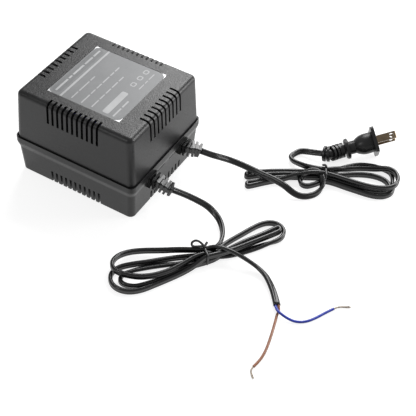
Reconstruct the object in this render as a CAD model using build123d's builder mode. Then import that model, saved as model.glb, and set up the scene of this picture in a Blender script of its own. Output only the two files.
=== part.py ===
from build123d import *
from math import radians, tan
import os

# Low voltage transformer: a vented two-part case with a lamination transformer inside,
# an input cord with a two-blade plug and an output cord with two bare-ended cores.
# Millimetres. The origin is the middle of the case's foot, +X towards the cords, +Z up.
# +Y is the input side and -Y the output side.

# Case
case_length = 116.0
case_width = 104.3
case_height = 83.0
wall = 2.5
corner_radius = 5.0
draft_angle = 3.1
top_edge_radius = 4.5
foot_edge_radius = 1.2
fit_gap = 0.15

# Joint between the shells: the cover's skirt stands in a rebate inside the base's rim
rim_height = 36.5
shoulder_bottom = 26.0
shoulder_top = 31.0
shoulder_step = 1.4
shoulder_blend = 6.0
ledge_height = 33.5
lip_thickness = 0.65
lip_gap = 0.5

# Vents, cut as boxes across the edges of the case
slot_width = 2.1
slot_cut = 20.0
long_slot_count = 11
long_slot_pitch = 4.66
long_slot_reach = 10.65
short_slot_count = 9
short_slot_pitch = 5.4
short_slot_reach = 13.15
cover_slot_depth = 18.8
base_long_slot_top = 12.4
base_short_slot_top = 9.6
slit_height = 26.4
slit_width = 1.2
slit_length = 11.0
slit_spacing = 18.0

# Label
label_size = 68.0
label_corner = 0.8
label_thickness = 0.3
label_recess = 0.5

# Screws that hold the cover, driven from below
case_screw_end_inset = 12.0
case_screw_side_inset = 11.15
case_screw_diameter = 3.0
case_screw_length = 26.0
case_screw_head = 5.6
case_screw_head_height = 2.2
case_screw_seat = 20.0
case_screw_room = 2.0
tower_diameter = 8.6
boss_diameter = 7.6
screw_play = 0.1
head_play = 0.4
recess_length_share = 0.55
recess_width_share = 0.28

# Lamination stack: E and I plates lie flat, the coil's axis runs along Y
stack_side_room = 16.275
stack_bottom = 17.5
plate_hole = 4.8
core_screw_diameter = 4.0
core_screw_grip = 10.0
core_screw_head = 7.5
core_screw_head_height = 2.6
core_screw_room = 1.0
post_diameter = 10.0

# Bobbin and coils
bobbin_play = 0.3
bobbin_wall = 1.2
flange_thickness = 1.5
flange_corner = 2.0
flange_headroom = 10.0
coil_side_inset = 1.4
coil_top_inset = 1.75
coil_corner = 3.0
tape_thickness = 0.5
rail_depth = 4.8
rail_height = 8.0
rail_clearance = 2.5
rail_side_inset = 4.4
lug_width = 4.5
lug_thickness = 0.8
lug_height = 9.0
lug_sink = 4.0
lug_headroom = 3.5
lug_pitch_share = 0.375
fuse_diameter = 4.2
fuse_length = 12.0
fuse_chamfer = 0.5
sleeve_length = 4.0
sleeve_wall = 0.8
near_run_gap = 7.4
far_run_gap = 3.0

# Cords: a flat two-core sheath, drawn round with the same area
sheath_diameter = 4.6
core_diameter = 2.1
core_spread = 2.4
core_straight = 1.6
strand_diameter = 1.5
cord_side = 23.5
cord_height = 25.8
bore_play = 0.1

# Strain reliefs in the case wall
relief_width = 12.2
relief_height = 11.3
relief_tip_width = 8.6
relief_tip_height = 9.8
relief_flange_width = 16.0
relief_flange_height = 13.0
relief_flange_thickness = 2.0
relief_block_corner = 1.0
relief_rib_corner = 0.8
relief_bar_corner = 1.5
relief_root_length = 2.5
relief_root_straight = 6.5
relief_tip_straight = 4.0
relief_rib_count = 5
relief_rib_thickness = 2.0
relief_bar_width = 7.4
relief_bar_height = 6.2
relief_inset = 1.0
sheath_inside = 6.5

# Plug
blade_width = 6.35
blade_thickness = 1.5
blade_length = 17.5
blade_spacing = 12.7
blade_hole = 3.96
blade_hole_place = 13.5
blade_root = 7.0
plug_flange_width = 22.7
plug_flange_height = 27.0
plug_flange_thickness = 3.0
plug_flange_corner = 3.5
plug_bulb_diameter = 17.9
plug_neck_diameter = 11.6
plug_collar_diameter = 18.0
plug_collar_thickness = 4.5
plug_collar_place = 23.5
plug_collar_edge = 1.2
plug_neck_length = 4.5
plug_shoulder_length = 6.0
plug_shoulder_drop = 0.3
plug_rib_count = 6
plug_rib_diameter = 13.4
plug_rib_thickness = 1.9
plug_bar_diameter = 8.6
plug_bar_straight = 5.0
plug_bar_overlap = 1.0
blade_chamfer = 0.4

# Twist ties
tie_width = 2.2
tie_thickness = 0.8
tie_play = 0.2
tie_tail_diameter = 1.6
tie_tail_length = 8.0
tie_tail_inset = 2.0
tie_outer_corner = 2.0
tie_inner_corner = 0.4
tie_groove = 1.2

# Hanks
hank_height = 9.0
hank_low_height = 5.4
hank_low_end = 30.0
hank_reach = 100.0
output_low_side = -3.6
output_high_side = 8.2
input_low_side = -5.8
input_high_side = 5.8
tie_high_play = 0.4
flat_half_width = 3.1

# Sizes worked out from the ones above
draft = tan(radians(draft_angle))
foot_inset = shoulder_step + draft * shoulder_bottom
floor_inset = shoulder_step + draft * (shoulder_bottom - wall)
skirt_inset = lip_thickness + lip_gap
top_inset = skirt_inset + draft * (case_height - ledge_height)
ceiling = case_height - wall
ceiling_inset = skirt_inset + draft * (ceiling - ledge_height)
cover_slot_bottom = case_height - cover_slot_depth
case_screw_x = case_length / 2 - case_screw_end_inset
case_screw_y = case_width / 2 - case_screw_side_inset
rail_top = ceiling - lug_headroom - lug_height
rail_bottom = rail_top - rail_height
stack_height = rail_bottom - rail_clearance - stack_bottom
tongue = (case_width - 2 * stack_side_room) / 2.5
core_length = 3 * tongue
core_leg = tongue / 2
core_width = 2.5 * tongue
window_length = 1.5 * tongue
stack_top = stack_bottom + stack_height
stack_middle = stack_bottom + stack_height / 2
core_screw_length = stack_height + core_screw_grip
plate_hole_x = core_length / 2 - core_leg / 2
plate_hole_y = core_width / 2 - core_leg / 2
tube_width = tongue + 2 * bobbin_play + 2 * bobbin_wall
tube_height = stack_height + 2 * bobbin_play + 2 * bobbin_wall
flange_width = tongue + 2 * core_leg - 2 * bobbin_play
flange_height = 2 * (ceiling - flange_headroom - stack_middle)
coil_width = flange_width - 2 * coil_side_inset
coil_height = flange_height - 2 * coil_top_inset
rail_length = flange_width - 2 * rail_side_inset
lug_pitch = rail_length * lug_pitch_share
bobbin_length = window_length - 2 * bobbin_play
coil_length = (bobbin_length - 3 * flange_thickness) / 2
coil_middle = (coil_length + flange_thickness) / 2
rail_middle = bobbin_length / 2 + rail_depth / 2


def case_outline(height, inset):
    """The case's rounded outline at a height, drawn in from the rim by an inset."""
    with BuildSketch(Plane.XY.offset(height)) as outline:
        RectangleRounded(case_length - 2 * inset, case_width - 2 * inset, corner_radius)
    return outline.sketch


def edges_at(part, height):
    """The part's edges that lie in one level plane."""
    return part.edges().filter_by_position(Axis.Z, height - 0.01, height + 0.01)


def slot_plan(height, on_long_faces):
    """Plan of the vent slots on one pair of faces; each starts inside and runs out."""
    with BuildSketch(Plane.XY.offset(height)) as plan:
        if on_long_faces:
            start = case_width / 2 - long_slot_reach
            with GridLocations(0, 2 * start + slot_cut, 1, 2):
                with GridLocations(long_slot_pitch, 0, long_slot_count, 1):
                    Rectangle(slot_width, slot_cut)
        else:
            start = case_length / 2 - short_slot_reach
            with GridLocations(2 * start + slot_cut, 0, 2, 1):
                with GridLocations(0, short_slot_pitch, 1, short_slot_count):
                    Rectangle(slot_cut, slot_width)
    return plan.sketch


# Base: foot, shoulder and rim, hollowed, with its rebate, towers and posts
with BuildPart() as base_hollow:
    loft([case_outline(wall, floor_inset + wall), case_outline(shoulder_bottom, shoulder_step + wall)],
         ruled=True)
    extrude(case_outline(shoulder_bottom, shoulder_step + wall), amount=rim_height - shoulder_bottom + 1)
    extrude(case_outline(ledge_height, lip_thickness), amount=rim_height - ledge_height + 1)

with BuildPart() as lower_shell:
    loft([case_outline(0, foot_inset), case_outline(shoulder_bottom, shoulder_step)], ruled=True)
    loft([case_outline(shoulder_bottom, shoulder_step), case_outline(shoulder_top, 0)], ruled=True)
    extrude(case_outline(shoulder_top, 0), amount=rim_height - shoulder_top)
    fillet(edges_at(lower_shell, shoulder_top), shoulder_blend)
    fillet(edges_at(lower_shell, shoulder_bottom), shoulder_blend)
    fillet(edges_at(lower_shell, 0), foot_edge_radius)
    add(base_hollow.part, mode=Mode.SUBTRACT)
    with BuildSketch(Plane.XY.offset(wall / 2)):
        with GridLocations(2 * case_screw_x, 2 * case_screw_y, 2, 2):
            Circle(tower_diameter / 2)
    extrude(amount=ledge_height - wall / 2)
    with BuildSketch(Plane.XY.offset(wall / 2)):
        with GridLocations(2 * plate_hole_x, 2 * plate_hole_y, 2, 2):
            Circle(post_diameter / 2)
    extrude(amount=stack_bottom - wall / 2)
    with BuildSketch():
        with GridLocations(2 * case_screw_x, 2 * case_screw_y, 2, 2):
            Circle(case_screw_head / 2 + head_play)
    extrude(amount=case_screw_seat, mode=Mode.SUBTRACT)
    with BuildSketch():
        with GridLocations(2 * case_screw_x, 2 * case_screw_y, 2, 2):
            Circle(case_screw_diameter / 2 + screw_play)
    extrude(amount=rim_height, mode=Mode.SUBTRACT)
    with BuildSketch(Plane.XY.offset(stack_top - core_screw_length - core_screw_room)):
        with GridLocations(2 * plate_hole_x, 2 * plate_hole_y, 2, 2):
            Circle(core_screw_diameter / 2 + screw_play)
    extrude(amount=stack_height, mode=Mode.SUBTRACT)
    extrude(slot_plan(-1, True), amount=base_long_slot_top + 1, mode=Mode.SUBTRACT)
    extrude(slot_plan(-1, False), amount=base_short_slot_top + 1, mode=Mode.SUBTRACT)
    with BuildSketch(Plane.YZ.offset(case_length / 2 - 2 * wall)):
        with Locations((0, slit_height)):
            with GridLocations(slit_spacing, 0, 2, 1):
                Rectangle(slit_length, slit_width)
        with Locations((0, cord_height)):
            with GridLocations(2 * cord_side, 0, 2, 1):
                RectangleRounded(relief_width + 2 * fit_gap, relief_height + 2 * fit_gap, relief_block_corner)
    extrude(amount=4 * wall, mode=Mode.SUBTRACT)
lower_shell.part.label = "lower_shell"

# Cover: a drafted box, hollowed, with bosses for the case screws
with BuildPart() as cover_hollow:
    loft([case_outline(ledge_height, skirt_inset + wall), case_outline(ceiling, ceiling_inset + wall)],
         ruled=True)
    fillet(edges_at(cover_hollow, ceiling), top_edge_radius - wall)

with BuildPart() as upper_shell:
    loft([case_outline(ledge_height, skirt_inset), case_outline(case_height, top_inset)], ruled=True)
    fillet(edges_at(upper_shell, case_height), top_edge_radius)
    add(cover_hollow.part, mode=Mode.SUBTRACT)
    with BuildSketch(Plane.XY.offset(ledge_height)):
        with GridLocations(2 * case_screw_x, 2 * case_screw_y, 2, 2):
            Circle(boss_diameter / 2)
    extrude(amount=ceiling + wall / 2 - ledge_height)
    with BuildSketch(Plane.XY.offset(ledge_height)):
        with GridLocations(2 * case_screw_x, 2 * case_screw_y, 2, 2):
            Circle(case_screw_diameter / 2 + screw_play)
    extrude(amount=case_screw_seat + case_screw_length + case_screw_room - ledge_height, mode=Mode.SUBTRACT)
    extrude(slot_plan(cover_slot_bottom, True), amount=case_height, mode=Mode.SUBTRACT)
    extrude(slot_plan(cover_slot_bottom, False), amount=case_height, mode=Mode.SUBTRACT)
    with BuildSketch(Plane.XY.offset(case_height)):
        Rectangle(label_size + 2 * fit_gap, label_size + 2 * fit_gap)
    extrude(amount=-label_recess, mode=Mode.SUBTRACT)
upper_shell.part.label = "upper_shell"

with BuildPart() as rating_label:
    with BuildSketch(Plane.XY.offset(case_height - label_recess)):
        RectangleRounded(label_size, label_size, label_corner)
    extrude(amount=label_thickness)
rating_label.part.label = "rating_label"


def cross_screws(seat, half_x, half_y, shank, length, head, head_height, up):
    """Four pan head screws at the corners of a rectangle, heads at the seat."""
    way = 1 if up else -1
    with BuildPart() as screws:
        with BuildSketch(Plane.XY.offset(seat)):
            with GridLocations(2 * half_x, 2 * half_y, 2, 2):
                Circle(shank / 2)
        extrude(amount=way * length)
        with BuildSketch(Plane.XY.offset(seat)):
            with GridLocations(2 * half_x, 2 * half_y, 2, 2):
                Circle(head / 2)
        extrude(amount=-way * head_height)
        fillet(edges_at(screws, seat - way * head_height), head_height / 3)
        with BuildSketch(Plane.XY.offset(seat - way * head_height)):
            with GridLocations(2 * half_x, 2 * half_y, 2, 2):
                Rectangle(head * recess_length_share, shank * recess_width_share)
                Rectangle(shank * recess_width_share, head * recess_length_share)
        extrude(amount=way * head_height / 2, mode=Mode.SUBTRACT)
    return screws.part


case_screws = cross_screws(case_screw_seat, case_screw_x, case_screw_y, case_screw_diameter,
                           case_screw_length, case_screw_head, case_screw_head_height, up=True)
case_screws.label = "case_screws"

core_screws = cross_screws(stack_top, plate_hole_x, plate_hole_y, core_screw_diameter,
                           core_screw_length, core_screw_head, core_screw_head_height, up=False)
core_screws.label = "core_screws"

# Lamination stacks: the E's back is on the output side, the I closes the input side
with BuildPart() as core_e_stack:
    with BuildSketch(Plane.XY.offset(stack_bottom)):
        with Locations((0, -core_leg / 2)):
            Rectangle(core_length, core_width - core_leg)
        with GridLocations(tongue + core_leg, 0, 2, 1):
            Rectangle(core_leg, window_length, mode=Mode.SUBTRACT)
        with Locations((0, -plate_hole_y)):
            with GridLocations(2 * plate_hole_x, 0, 2, 1):
                Circle(plate_hole / 2, mode=Mode.SUBTRACT)
    extrude(amount=stack_height)
core_e_stack.part.label = "core_e_stack"

with BuildPart() as core_i_stack:
    with BuildSketch(Plane.XY.offset(stack_bottom)):
        with Locations((0, plate_hole_y)):
            Rectangle(core_length, core_leg)
            with GridLocations(2 * plate_hole_x, 0, 2, 1):
                Circle(plate_hole / 2, mode=Mode.SUBTRACT)
    extrude(amount=stack_height)
core_i_stack.part.label = "core_i_stack"


def coil_plane(y):
    """Plane across the coil's axis at a place along it; its local Y points down."""
    return Plane(origin=(0, y, stack_middle), x_dir=(1, 0, 0), z_dir=(0, 1, 0))


with BuildPart() as bobbin:
    with BuildSketch(coil_plane(-bobbin_length / 2)):
        Rectangle(tube_width, tube_height)
    extrude(amount=bobbin_length)
    for middle in (-1, 0, 1):
        place = middle * (bobbin_length - flange_thickness) / 2
        with BuildSketch(coil_plane(place - flange_thickness / 2)):
            RectangleRounded(flange_width, flange_height, flange_corner)
        extrude(amount=flange_thickness)
    with BuildSketch(Plane.XY.offset(rail_bottom)):
        with GridLocations(0, 2 * rail_middle, 1, 2):
            Rectangle(rail_length, rail_depth)
    extrude(amount=rail_top - rail_bottom)
    with BuildSketch(coil_plane(-bobbin_length / 2)):
        Rectangle(tongue + 2 * bobbin_play, stack_height + 2 * bobbin_play)
    extrude(amount=bobbin_length, mode=Mode.SUBTRACT)
    with BuildSketch(Plane.XY.offset(rail_top)):
        with Locations((0, rail_middle)):
            with GridLocations(lug_pitch, 0, 3, 1):
                Rectangle(lug_width, lug_thickness)
        with Locations((0, -rail_middle)):
            with GridLocations(2 * lug_pitch, 0, 2, 1):
                Rectangle(lug_width, lug_thickness)
    extrude(amount=-lug_sink, mode=Mode.SUBTRACT)
bobbin.part.label = "bobbin"


def winding(side):
    """One coil on its half of the bobbin."""
    with BuildPart() as coil:
        with BuildSketch(coil_plane(side * coil_middle - coil_length / 2)):
            RectangleRounded(coil_width, coil_height, coil_corner)
            Rectangle(tube_width, tube_height, mode=Mode.SUBTRACT)
        extrude(amount=coil_length)
    return coil.part


def tape_wrap(side):
    """Insulating tape round one coil."""
    with BuildPart() as tape:
        with BuildSketch(coil_plane(side * coil_middle - coil_length / 2)):
            RectangleRounded(coil_width + 2 * tape_thickness, coil_height + 2 * tape_thickness,
                             coil_corner + tape_thickness)
            RectangleRounded(coil_width, coil_height, coil_corner, mode=Mode.SUBTRACT)
        extrude(amount=coil_length)
    return tape.part


def lugs(side, spacing, count):
    """Flat solder lugs standing in a terminal rail."""
    with BuildPart() as tabs:
        with BuildSketch(Plane.XY.offset(rail_top - lug_sink)):
            with Locations((0, side * rail_middle)):
                with GridLocations(spacing, 0, count, 1):
                    Rectangle(lug_width, lug_thickness)
        extrude(amount=lug_sink + lug_height)
    return tabs.part


primary_winding = winding(1)
primary_winding.label = "primary_winding"
secondary_winding = winding(-1)
secondary_winding.label = "secondary_winding"
primary_tape = tape_wrap(1)
primary_tape.label = "primary_tape"
secondary_tape = tape_wrap(-1)
secondary_tape.label = "secondary_tape"
primary_lugs = lugs(1, lug_pitch, 3)
primary_lugs.label = "primary_lugs"
secondary_lugs = lugs(-1, 2 * lug_pitch, 2)
secondary_lugs.label = "secondary_lugs"

with BuildPart() as thermal_fuse:
    fuse_height = stack_middle + coil_height / 2 + tape_thickness + fuse_diameter / 2
    with BuildSketch(Plane(origin=(-fuse_length / 2, coil_middle, fuse_height), z_dir=(1, 0, 0))):
        Circle(fuse_diameter / 2)
    extrude(amount=fuse_length)
    chamfer(thermal_fuse.edges().filter_by(GeomType.CIRCLE), fuse_chamfer)
thermal_fuse.part.label = "thermal_fuse"


def corner_radii(points):
    """The largest even arc at each turn: 0.45 of the shorter run over tan(half the turn)."""
    radii = []
    for before, here, after in zip(points, points[1:], points[2:]):
        arriving = Vector(*here) - Vector(*before)
        leaving = Vector(*after) - Vector(*here)
        half_turn = radians(arriving.get_angle(leaving)) / 2
        radii.append(0.45 * min(arriving.length, leaving.length) / tan(half_turn))
    return radii


def cord_tube(name, points, diameter):
    """A round cord along straight runs joined by tangent arcs."""
    radii = corner_radii(points)
    with BuildPart() as tube:
        with BuildLine() as route:
            FilletPolyline(*points, radius=radii)
        with BuildSketch(Plane(origin=route.wire() @ 0, z_dir=route.wire() % 0)) as section:
            Circle(diameter / 2)
        sweep()
    expected = section.sketch.area * route.wire().length
    print(f"{name}: length {route.wire().length:.1f}, volume over section x length "
          f"{tube.part.volume / expected:.4f}, radii {[round(radius, 1) for radius in radii]}")
    tube.part.label = name
    return tube.part


# Where the cords pass the wall, and the free ends of their reliefs
relief_root = case_length / 2 - relief_inset
sheath_end = relief_root - sheath_inside
output_root = Vector(relief_root, -cord_side, cord_height)
input_root = Vector(relief_root, cord_side, cord_height)
output_tip = output_root + Vector(18.0, 2.2, -4.3)
input_tip = input_root + Vector(15.4, 4.4, -1.6)

# Routes of the cords, from the reliefs outwards
output_lead_route = [
    tuple(output_tip), (84.0, -16.9, 17.5), (92.8, -13.2, 13.0), (102.1, -10.2, 8.5),
    (110.2, -11.6, 5.6), (117.1, -15.0, 3.7), (123.5, -21.6, 2.9), (127.4, -28.8, 2.7),
    (130.1, -37.4, 2.7),
]
output_tail_route = [
    (149.2, -36.8, 2.6), (155.4, -37.3, 2.6), (165.5, -39.2, 2.5), (174.8, -44.0, 2.5),
    (182.8, -50.7, 2.5), (189.8, -57.9, 2.5), (195.6, -65.3, 2.5),
]
input_lead_route = [
    tuple(input_tip), (81.3, 31.1, 21.5), (87.8, 37.2, 17.0), (94.5, 42.9, 12.5),
    (103.6, 45.3, 10.4), (113.6, 46.3, 9.0), (124.0, 46.3, 8.5), (134.2, 46.6, 8.4),
    (144.1, 46.0, 7.4), (152.4, 44.8, 4.4), (159.1, 46.0, 2.9), (164.8, 49.6, 2.8),
    (169.2, 55.8, 2.8), (170.0, 64.1, 2.8),
]
input_tail_route = [
    (147.7, 79.0, 3.0), (140.2, 80.2, 3.0), (135.0, 83.4, 3.0), (132.0, 88.4, 3.0),
    (133.6, 93.9, 3.0), (139.0, 97.2, 3.6), (146.4, 98.4, 5.0), (154.8, 99.9, 6.9),
]


def relief_route(root, tip, outside_point):
    """Centreline of a relief: straight through the wall, then bending to its cord."""
    cord_way = (Vector(*outside_point) - tip).normalized()
    inner = Vector(sheath_end, root.Y, root.Z)
    bend = Vector(root.X + relief_root_straight, root.Y, root.Z)
    return [tuple(inner), tuple(bend), tuple(tip - cord_way * relief_tip_straight), tuple(tip)]


def across(wire, place):
    """Plane across a centreline at a length along it, with its X level."""
    return Plane(origin=wire.position_at(place, PositionMode.LENGTH), x_dir=(0, 1, 0),
                 z_dir=wire.tangent_at(place, PositionMode.LENGTH))


def strain_relief(route):
    """Ribbed grommet: a flange inside the wall, a root block, ribs on a bar, and a bore."""
    radii = corner_radii(route)
    with BuildPart() as relief:
        with BuildLine(mode=Mode.PRIVATE) as spine:
            FilletPolyline(*route, radius=radii)
        wire = spine.wire()
        root_place = sheath_inside + relief_root_length
        flange_place = sheath_inside + relief_inset - 2 * wall - relief_flange_thickness
        wall_inside = flange_place + relief_flange_thickness
        with BuildSketch(across(wire, flange_place)):
            RectangleRounded(relief_flange_width, relief_flange_height, relief_block_corner)
        extrude(amount=relief_flange_thickness)
        with BuildSketch(across(wire, wall_inside)):
            RectangleRounded(relief_width, relief_height, relief_block_corner)
        extrude(amount=root_place - wall_inside)
        with BuildSketch(across(wire, flange_place)):
            RectangleRounded(relief_bar_width, relief_bar_height, relief_bar_corner)
        sweep(path=wire.trim(flange_place / wire.length, 1.0))
        free = wire.length - root_place
        pitch = free / relief_rib_count
        for rib in range(1, relief_rib_count + 1):
            share = rib / relief_rib_count
            width = relief_width + (relief_tip_width - relief_width) * share
            height = relief_height + (relief_tip_height - relief_height) * share
            place = root_place + rib * pitch - relief_rib_thickness
            with BuildSketch(across(wire, place)):
                RectangleRounded(width, height, relief_rib_corner)
            extrude(amount=relief_rib_thickness)
        with BuildSketch(across(wire, 0)):
            Circle(sheath_diameter / 2 + bore_play)
        sweep(path=wire, mode=Mode.SUBTRACT)
    return relief.part


output_relief_route = relief_route(output_root, output_tip, output_lead_route[1])
input_relief_route = relief_route(input_root, input_tip, input_lead_route[1])
output_strain_relief = strain_relief(output_relief_route)
output_strain_relief.label = "output_strain_relief"
input_strain_relief = strain_relief(input_relief_route)
input_strain_relief.label = "input_strain_relief"

output_cord_entry = cord_tube("output_cord_entry", output_relief_route, sheath_diameter)
input_cord_entry = cord_tube("input_cord_entry", input_relief_route, sheath_diameter)
output_cord_lead = cord_tube("output_cord_lead", output_lead_route, sheath_diameter)
output_cord_tail = cord_tube("output_cord_tail", output_tail_route, sheath_diameter)
input_cord_lead = cord_tube("input_cord_lead", input_lead_route, sheath_diameter)
input_cord_tail = cord_tube("input_cord_tail", input_tail_route, sheath_diameter)

# Cores past the output sheath's end: the blue one crosses over the brown one
jacket_end = Vector(*output_tail_route[-1])
jacket_way = (jacket_end - Vector(*output_tail_route[-2])).normalized()
core_side = Vector(-jacket_way.Y, jacket_way.X, 0) * (core_spread / 2)
brown_start = jacket_end + core_side
blue_start = jacket_end - core_side
blue_route = [
    tuple(blue_start), tuple(blue_start + jacket_way * core_straight), (198.2, -70.3, 3.6),
    (203.2, -71.6, 3.2), (208.6, -71.7, 2.1), (213.4, -70.6, 1.2), (218.1, -68.2, 1.1),
    (222.1, -64.2, 1.1), (225.8, -58.0, 1.1),
    (229.2, -50.7, 1.1), (232.9, -44.0, 1.1),
]
brown_route = [
    tuple(brown_start), tuple(brown_start + jacket_way * core_straight), (198.9, -68.3, 1.3),
    (199.4, -72.6, 1.1), (201.5, -79.7, 1.1),
    (203.9, -88.8, 1.1), (206.0, -98.0, 1.1), (207.4, -105.7, 1.1), (207.8, -114.7, 1.1),
    (206.3, -121.9, 1.1),
]
blue_strand_route = [blue_route[-1], (234.5, -41.1, 1.1), (238.2, -38.4, 0.9), (243.4, -35.4, 0.9)]
brown_strand_route = [brown_route[-1], (205.8, -124.3, 1.1), (207.4, -127.7, 0.9), (211.1, -130.7, 0.9)]
blue_core = cord_tube("blue_core", blue_route, core_diameter)
brown_core = cord_tube("brown_core", brown_route, core_diameter)
blue_strands = cord_tube("blue_strands", blue_strand_route, strand_diameter)
brown_strands = cord_tube("brown_strands", brown_strand_route, strand_diameter)


def inner_route(side, entry_offset, lug_x, run_offset):
    """Core from the sheath's end up beside the stack and across to its lug."""
    entry = side * cord_side + entry_offset
    aisle = (core_length / 2 + case_length / 2 - shoulder_step - wall) / 2 - core_diameter
    run = side * run_offset
    level = rail_top + lug_height / 2
    lug_face = side * (rail_middle + lug_thickness / 2)
    return [(sheath_end, entry, cord_height), (aisle, entry, cord_height), (aisle, run, level),
            (lug_x, run, level), (lug_x, lug_face, level)]


near_run = rail_middle + near_run_gap
far_run = near_run + far_run_gap
input_brown_lead = cord_tube("input_brown_lead", inner_route(1, core_spread / 2, -lug_pitch, far_run),
                             core_diameter)
input_blue_lead = cord_tube("input_blue_lead", inner_route(1, -core_spread / 2, lug_pitch, near_run),
                            core_diameter)
output_brown_lead = cord_tube("output_brown_lead", inner_route(-1, core_spread / 2, lug_pitch, near_run),
                              core_diameter)
output_blue_lead = cord_tube("output_blue_lead", inner_route(-1, -core_spread / 2, -lug_pitch, far_run),
                             core_diameter)

with BuildPart() as lead_sleeves:
    for side in (-1, 1):
        sleeve_start = side * (rail_middle + lug_thickness / 2 + fit_gap)
        with BuildSketch(Plane(origin=(0, sleeve_start, rail_top + lug_height / 2), x_dir=(1, 0, 0),
                               z_dir=(0, side, 0))):
            with GridLocations(2 * lug_pitch, 0, 2, 1):
                Circle(core_diameter / 2 + sleeve_wall)
                Circle(core_diameter / 2 + bore_play, mode=Mode.SUBTRACT)
        extrude(amount=sleeve_length)
lead_sleeves.part.label = "lead_sleeves"

# Plug: rigid head on a tilted axis, lying on its collar and one corner of its flange
plug_origin = Vector(188.0, 128.1, 16.4)
plug_way = Vector(0.749, 0.600, 0.285).normalized()
blade_facing = Vector(0.163, -0.581, 0.798)
plug_plane = Plane(origin=plug_origin, x_dir=blade_facing, z_dir=plug_way)
plug_axis = Axis(plug_origin, plug_way)
collar_back = -plug_collar_place - plug_collar_thickness / 2
plug_neck_end = -plug_collar_place + plug_collar_thickness / 2
plug_back = plug_plane.from_local_coords((0, 0, collar_back))
plug_relief_way = Vector(*input_tail_route[-1]) - Vector(*input_tail_route[-2])
plug_relief_start = Vector(*input_tail_route[-1])
plug_relief_route = [
    tuple(plug_relief_start), tuple(plug_relief_start + plug_relief_way.normalized() * plug_bar_straight),
    tuple(plug_back - plug_way * plug_bar_straight), tuple(plug_back + plug_way * plug_bar_overlap),
]

with BuildPart() as plug_body:
    with BuildLine(mode=Mode.PRIVATE) as plug_spine:
        FilletPolyline(*plug_relief_route, radius=corner_radii(plug_relief_route))
    plug_wire = plug_spine.wire()
    with BuildSketch(across(plug_wire, 0)):
        Circle(plug_bar_diameter / 2)
    sweep(path=plug_wire)
    rib_pitch = (plug_wire.length - plug_bar_overlap) / plug_rib_count
    for rib in range(plug_rib_count):
        with BuildSketch(across(plug_wire, rib * rib_pitch)):
            Circle(plug_rib_diameter / 2)
        extrude(amount=plug_rib_thickness)
    with BuildSketch(plug_plane.offset(-plug_flange_thickness / 2)):
        RectangleRounded(plug_flange_height, plug_flange_width, plug_flange_corner)
    extrude(amount=plug_flange_thickness)
    with BuildSketch(Plane(origin=plug_origin, x_dir=plug_plane.x_dir, z_dir=-plug_plane.y_dir)):
        with BuildLine():
            bulb_back = plug_neck_end + plug_neck_length
            Polyline((0, 0), (0, collar_back), (-plug_collar_diameter / 2 + plug_collar_edge, collar_back),
                     (-plug_collar_diameter / 2, collar_back + plug_collar_edge),
                     (-plug_collar_diameter / 2, plug_neck_end - plug_collar_edge),
                     (-plug_neck_diameter / 2, plug_neck_end),
                     (-plug_neck_diameter / 2, bulb_back))
            Spline((-plug_neck_diameter / 2, bulb_back),
                   (-plug_bulb_diameter / 2 + plug_shoulder_drop, bulb_back + plug_shoulder_length),
                   (-plug_bulb_diameter / 2, -plug_flange_thickness / 2),
                   tangents=[(-0.6, 0.8), (0, 1)])
            Polyline((-plug_bulb_diameter / 2, -plug_flange_thickness / 2), (-plug_bulb_diameter / 2, 0),
                     (0, 0))
        make_face()
    revolve(axis=plug_axis)
    with BuildSketch(plug_plane.offset(plug_flange_thickness / 2)):
        with GridLocations(blade_spacing, 0, 2, 1):
            Rectangle(blade_thickness, blade_width)
    extrude(amount=-blade_root, mode=Mode.SUBTRACT)
plug_body.part.label = "plug_body"


def plug_blade(offset):
    """Flat blade with a hole near its bevelled tip, rooted in the plug's body."""
    edge = plug_flange_thickness / 2
    centre = plug_plane.from_local_coords((offset - blade_thickness / 2, 0, edge))
    side = Plane(origin=centre, x_dir=plug_plane.y_dir, z_dir=plug_plane.x_dir)
    with BuildPart() as blade:
        with BuildSketch(side):
            with Locations((0, (blade_length - blade_root) / 2)):
                Rectangle(blade_width, blade_length + blade_root)
            with Locations((0, blade_hole_place)):
                Circle(blade_hole / 2, mode=Mode.SUBTRACT)
        extrude(amount=blade_thickness)
        tip = blade.faces().sort_by(plug_axis)[-1]
        chamfer(tip.edges(), blade_chamfer)
    return blade.part


plug_blade_upper = plug_blade(blade_spacing / 2)
plug_blade_upper.label = "plug_blade_upper"
plug_blade_lower = plug_blade(-blade_spacing / 2)
plug_blade_lower.label = "plug_blade_lower"

# Hanks: the outer shape of each folded bundle, with a flat where each cord meets it
output_hank_plane = Plane(origin=(129.0, -56.5, 0), x_dir=(0.64, 0.77, 0), z_dir=(0, 0, 1))
input_hank_plane = Plane(origin=(166.9, 77.5, 0), x_dir=(0.863, 0.505, 0), z_dir=(0, 0, 1))


def cord_flat(plane, end, neighbour):
    """The two corners of the flat that a cord meets, in the hank's own plane."""
    centre = plane.to_local_coords(Vector(*end))
    outside = plane.to_local_coords(Vector(*neighbour))
    way = Vector(outside.X - centre.X, outside.Y - centre.Y, 0).normalized()
    along = Vector(-way.Y, way.X, 0) * flat_half_width
    return [(centre.X - along.X, centre.Y - along.Y), (centre.X + along.X, centre.Y + along.Y)]


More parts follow.
